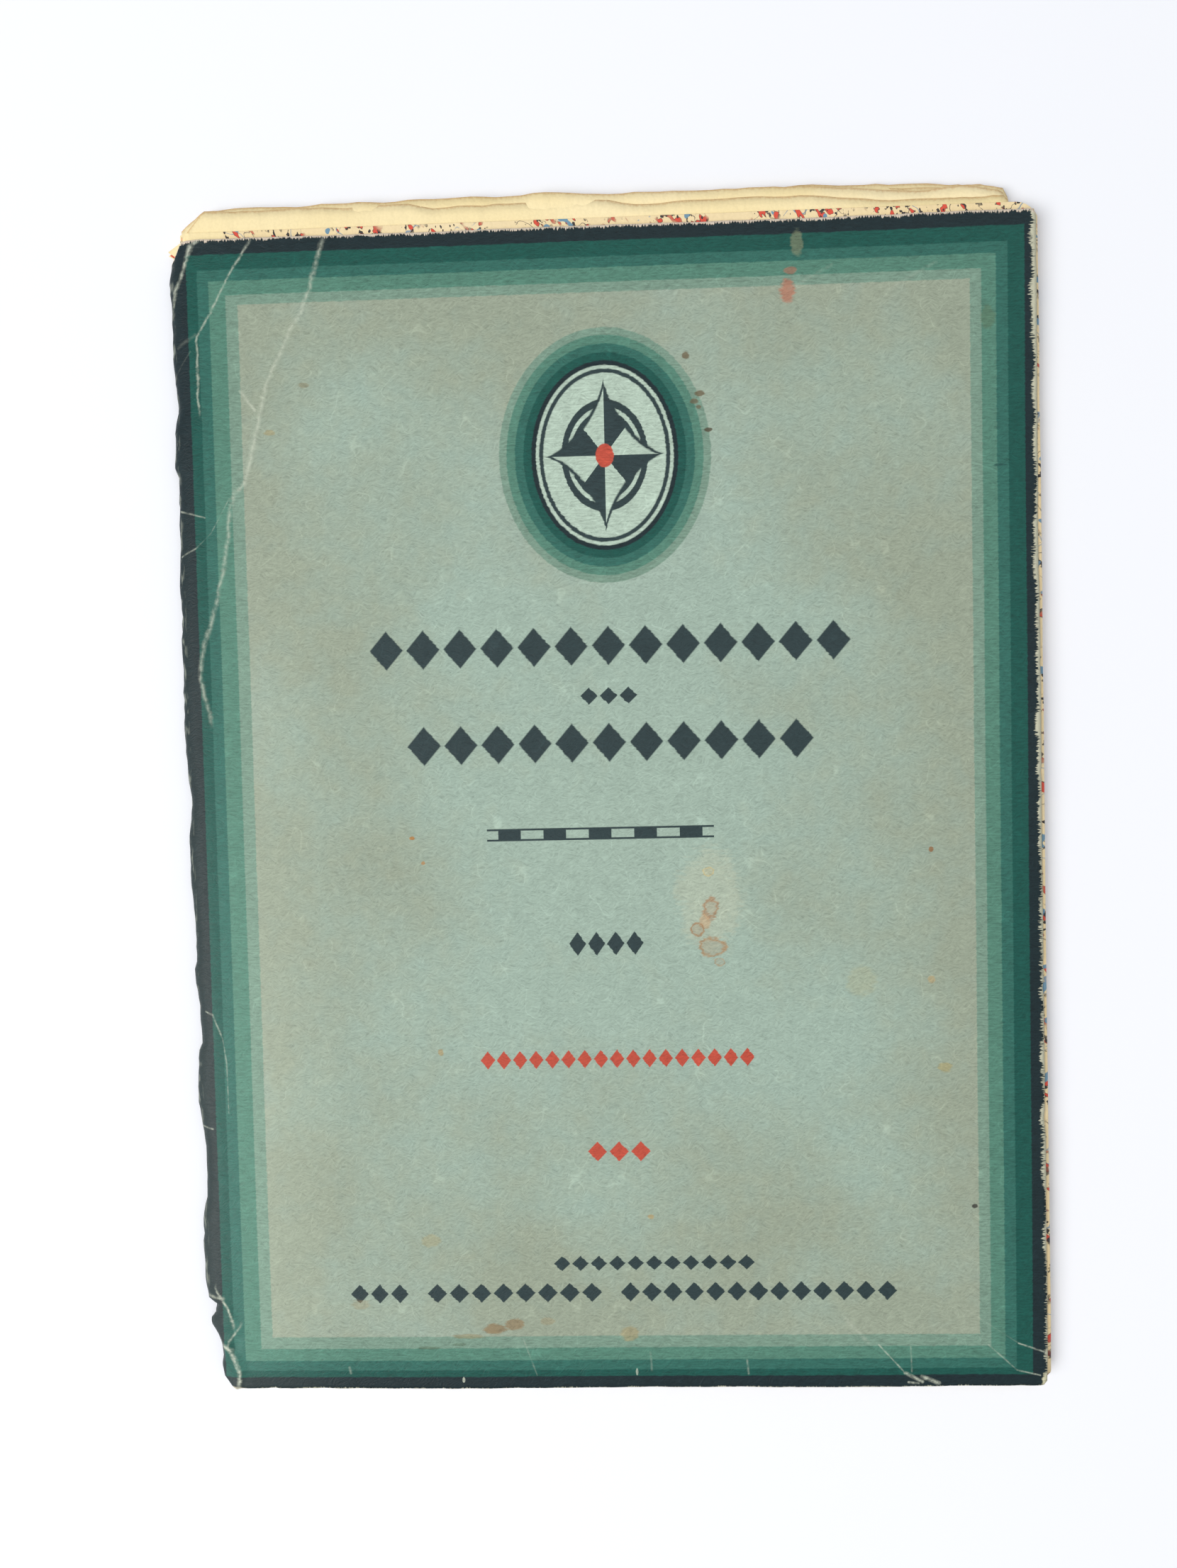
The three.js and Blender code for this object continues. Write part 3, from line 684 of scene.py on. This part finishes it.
def map_columns():
    """One line across the sheet's width, pleat after pleat: each column has its x, its level, the
    way up from its middle leaf (nx, nz), its pleat and the y of its cut edge. Straight runs are
    joined by half circles at the fore edge and the spine in turn, numbered between two pleats."""
    reach = PLEAT_PITCH / 2
    packet = LEAF_PITCH + PAPER / 2
    fore_turn, spine_turn = MAP_FORE - packet - reach, MAP_SPINE + packet + reach
    bend = np.linspace(0, np.pi, 9)[1:-1]
    found = []
    for pleat, edge in enumerate(HEAD_EDGES):
        edge = np.array(edge)
        level, up = TOP_PLEAT - pleat * PLEAT_PITCH, 1 - 2 * (pleat % 2)
        start = FREE_EDGE if pleat == 0 else spine_turn
        x = spaced(start, (-66, 9), (60, 57), (fore_turn, 21))[::up]
        found.append((x, level, 0, up, pleat, np.interp(x, *edge.T)))
        if pleat < PLEATS - 1:
            turn_x = fore_turn if up > 0 else spine_turn
            x = turn_x + up * reach * np.sin(bend)
            z = level - reach + reach * np.cos(bend)
            cut = np.interp(turn_x, *edge.T)
            found.append((x, z, np.sin(bend) * up, np.cos(bend) * up, pleat + 0.5, cut))
    return joined(found)


def map_surface():
    """The folded sheet: a point is the column's place plus the row's height along the column's
    way up. The pleats fan out a little at the fore edge, and the leaves that stand past the cover
    ripple and droop, less where they lie near the table. Gives both faces' points, and each
    point's place on the unfolded sheet with its distance in from the cut edge at the head."""
    x, level, nx, nz, pleat, cut = (column[:, None] for column in map_columns())
    leaf, share, height, step, ny, nh = (row[None, :] for row in leaf_rows())
    head = MAP_HEAD - rounded_corner(x - (MAP_FORE - CORNER_WEAR), CORNER_WEAR, 0.96)
    foot = MAP_FOOT + rounded_corner(MAP_SPINE + CORNER_WEAR - x, CORNER_WEAR, 0.96)
    foot = foot + rounded_corner(x - (MAP_FORE - FORE_ROUND), FORE_ROUND, 0.96)
    bend_room = LEAF_PITCH / 2 + PAPER / 2
    fringe = 0.12 * ragged(x + 3 * pleat, 0.8, 201) + 0.25 * ragged(x + 9 * pleat, 4.3, 202)
    high = np.where(leaf == 2, cut + fringe, head - bend_room)
    low = foot + bend_room
    y = low + share * (high - low) + step

    spine_fold = np.where(pleat % 2 < 1, np.floor(pleat), np.floor(pleat) + 1)
    scrap = np.where(spine_fold == SCRAP_FOLD, np.interp(y, *SCRAP.T), 0)
    spine = MAP_SPINE + np.interp(y, *SPINE_CRUSH.T) - scrap
    fanned = 0.09 * pleat * (1 + 0.5 * np.sin(y / 17 + pleat)) - 0.1
    fore = MAP_FORE - MAP_FORE_LEAN * y / MAP_HEAD - 0.12 * np.abs(ragged(y, 5.0, 203)) + fanned
    share_x = (x - MAP_SPINE) / (MAP_FORE - MAP_SPINE)
    x_worn = spine + share_x * (fore - spine)

    out = np.clip((y - MAP_HEAD) / 4, 0, 2)
    ripple = 0.12 * np.sin(x / 6.1 + 1.3 * pleat) + 0.2 * np.sin(x / 19 + pleat)
    crumple = 0.17 * ragged(x + 11 * pleat, 5.3, 204) + 0.1 * ragged(x + 5 * pleat + 0.6 * y, 2.1, 205)
    bottom_pleat = TOP_PLEAT - PLEAT_PITCH * (PLEATS - 1)
    room = 0.35 + 0.65 * (level - bottom_pleat) / (TOP_PLEAT - bottom_pleat)
    droop = room * out * (ripple + crumple - 0.1 * (1 + out)) + 0.03 * np.sin(x / 13 + y / 23)

    def face(offset):
        rise = height + offset * nh
        return np.stack([x_worn + rise * nx, y + offset * ny, level + rise * nz + droop], -1)

    width, tall = MAP_FORE - MAP_SPINE, MAP_HEAD - MAP_FOOT
    going_out = np.floor(pleat) % 2 == 0
    along = np.floor(pleat) * width + np.where(going_out, x - MAP_SPINE, MAP_FORE - x)
    rising = np.where(leaf == 1, MAP_HEAD - y, y - MAP_FOOT) + leaf * tall
    far_in = 9
    cut_in = np.where(leaf == 2, high - y, far_in)
    place = np.stack(np.broadcast_arrays(along, rising, cut_in), -1)
    return face(PAPER / 2), face(-PAPER / 2), place


paper = Finish("map print")
place = paper.noted("map_place")
along, rising, cut_in = paper.parts(place)
speckle = paper.grain(place, 0.5, detail=2.0)
wrinkle = paper.grain(place, 3, (1, 3), 2.0)
age = paper.grain(place, 30)
colour = paper.laid(ink("#F0DDB4"), ink("#E9D09C"), age)

# The map's print. Rivers and thin roads wind wherever slow noise crosses its middle. Main roads,
# red between dark edges, towns and lakes are small patches; all but the lakes keep to the settled
# parts of the country.
settled = paper.grain(place, 5, detail=2.0).over(0.47, 0.12)
for code, size in ((RIVER, 12), (THIN_ROAD, 7)):
    line = 1 - abs(paper.grain(place, size, detail=3.0) - 0.5).over(0.005, 0.005)
    colour = paper.laid(colour, ink(code), line * settled)
road = paper.grain(place, 1.3, (1, 1.8), 1.0, 0.6)
colour = paper.laid(colour, ink(DARK), road.over(0.62, 0.02) * settled)
colour = paper.laid(colour, ink(MAIN_ROAD), road.over(0.645, 0.02) * settled)
town = paper.grain(place, 0.8, (1, 1.4), 1.0).over(0.65, 0.03)
colour = paper.laid(colour, ink(DARK), town * settled)
colour = paper.laid(colour, ink(LAKE), paper.grain(place, 2.9).over(0.7, 0.02))

# The blank margin round the print, and the browned cut edge
sheet_tall = 2 * (MAP_HEAD - MAP_FOOT) + CUT_HEAD - MAP_FOOT
margin = rising.over(sheet_tall - PRINT_MARGIN, 0.1).most(1 - along.over(PRINT_MARGIN, 0.1))
blank = paper.laid(ink("#F6E5B8"), ink("#EED9A0"), age)
colour = paper.laid(colour, blank, margin)
browned = 1 - (cut_in + (speckle - 0.5) * 0.5).over(0.25, 0.4)
colour = paper.laid(colour, ink(CUT_BROWN), browned * 0.6)
colour = paper.shaded(colour, (speckle - 0.5) * 0.12 + 1)
map_print = paper.done(colour, 0.75, speckle * 0.2 + wrinkle, 0.2)

back = Finish("map back")
place = back.noted("map_place")
speckle = back.grain(place, 0.5, detail=2.0)
age = back.grain(place, 22, detail=2.0)
wrinkle = back.grain(place, 3, (1, 3), 2.0)
colour = back.laid(ink("#F7E6B9"), ink("#EDD79C"), age.over(0.5, 0.5))
browned = 1 - (back.parts(place)[2] + (speckle - 0.5) * 0.5).over(0.25, 0.4)
colour = back.laid(colour, ink(CUT_BROWN), browned * 0.6)
colour = back.shaded(colour, (speckle - 0.5) * 0.12 + 1)
map_back = back.done(colour, 0.8, speckle * 0.2 + wrinkle, 0.2)

outer, inner, unfolded = map_surface()
sheet = closed_sheet("map_paper", outer, inner)
note_on(sheet, "map_place", unfolded)
sheet.data.materials.append(map_print)
sheet.data.materials.append(map_back)
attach(sheet, "root")
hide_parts("map_sheet")

# ----------------------------------------------------------------------------------------------
# The table it lies on, the light and the camera. A broad window stands on the spine's side,
# towards the foot, so the card has a soft sheen there and its far edges a faint shadow.
# ----------------------------------------------------------------------------------------------
bpy.ops.mesh.primitive_plane_add(size=6, location=(0, 0, -0.03 * MM))
table = bpy.context.object
table.name = "table"
top = Finish("table top")
tone = top.grain(top.add("ShaderNodeTexCoord", {}, {}, 3), 0.4)
colour = top.laid(ink("#F3F4F9"), ink("#F1F3F8"), tone)
table.data.materials.append(top.done(colour, 0.9, tone, 0.0))


def soft_light(name, place, size, watts, tint):
    """A square light of the given size that faces the middle of the table."""
    lamp = bpy.data.lights.new(name, "AREA")
    lamp.shape, lamp.size, lamp.energy, lamp.color = "SQUARE", size, watts, tint
    holder = bpy.data.objects.new(name, lamp)
    bpy.context.scene.collection.objects.link(holder)
    holder.location = place
    x, y, z = place
    holder.rotation_euler = (np.arctan2(np.hypot(x, y), z), 0, np.arctan2(y, x) + QUARTER)


soft_light("window", (-1.0, -0.45, 1.3), 1.0, 21, (1.0, 0.99, 0.97))
soft_light("ceiling", (0.3, 0.5, 1.8), 1.6, 7, (0.97, 0.98, 1.0))

room = bpy.data.worlds.new("room")
bpy.context.scene.world = room
room.use_nodes = True
room.node_tree.nodes["Background"].inputs["Color"].default_value = (0.96, 0.98, 1.0, 1)
room.node_tree.nodes["Background"].inputs["Strength"].default_value = 0.47
bpy.context.scene.view_settings.view_transform = "Standard"

lens = bpy.data.cameras.new("camera")
lens.lens, lens.sensor_width, lens.clip_start = 27.0, 36.0, 0.01
camera = bpy.data.objects.new("camera", lens)
bpy.context.scene.collection.objects.link(camera)
camera.location = (0.00336, 0.0109, 0.2122)
camera.rotation_euler = np.radians((-2.30, 1.93, -1.31))
bpy.context.scene.camera = camera
